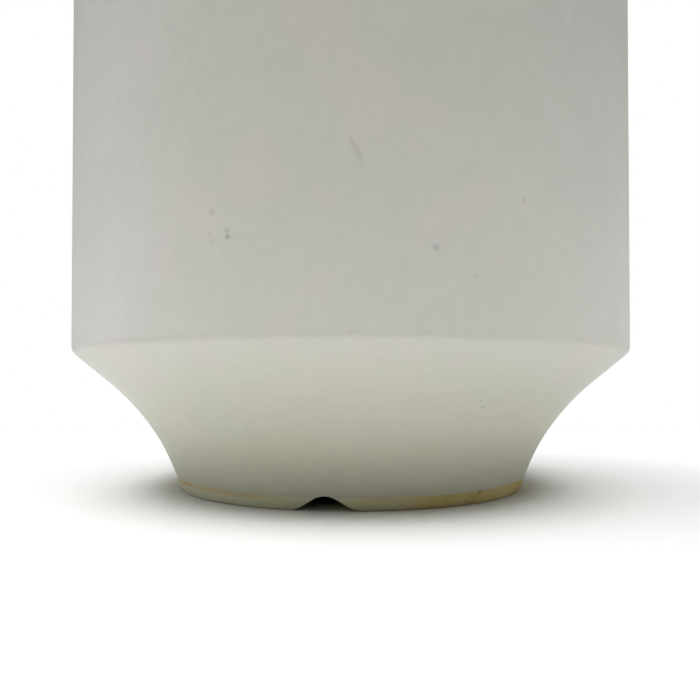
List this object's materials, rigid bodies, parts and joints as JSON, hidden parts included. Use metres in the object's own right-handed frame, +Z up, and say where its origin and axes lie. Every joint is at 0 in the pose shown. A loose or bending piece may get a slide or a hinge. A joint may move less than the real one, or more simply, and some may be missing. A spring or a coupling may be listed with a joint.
{
  "type": "ceramic planter",
  "caption": "Round glazed stoneware planter with a straight wall, a rounded shoulder and a hollow-swept flank on a notched foot ring, with a drain bung and a loose drain screen.",
  "frame": {"origin": "on the ground, at the planter's axis, in the middle of the foot ring", "axes": "+Z up along the planter's axis; -Y is the front, where one drainage notch faces"},
  "size_m": [0.3556, 0.3556, 0.3556],
  "materials": {
    "glazed_stoneware": "satin off-white glaze over pale stoneware, bare clay with a brown glaze edge at the foot",
    "black_rubber": "matt moulded rubber",
    "dark_plastic": "matt moulded plastic"
  },
  "bodies": {
    "planter": {"planter_body": "glazed_stoneware"},
    "plug": {"drain_plug": "black_rubber"},
    "screen": {"drain_screen": "dark_plastic"}
  },
  "joints": [
    {"name": "plug_pull", "type": "slide", "parent": "planter", "child": "plug", "axis": [0, 0, -1], "range_m": [0, 0.05]},
    {"name": "screen_lift", "type": "slide", "parent": "planter", "child": "screen", "axis": [0, 0, 1], "range_m": [0, 0.34]}
  ]
}
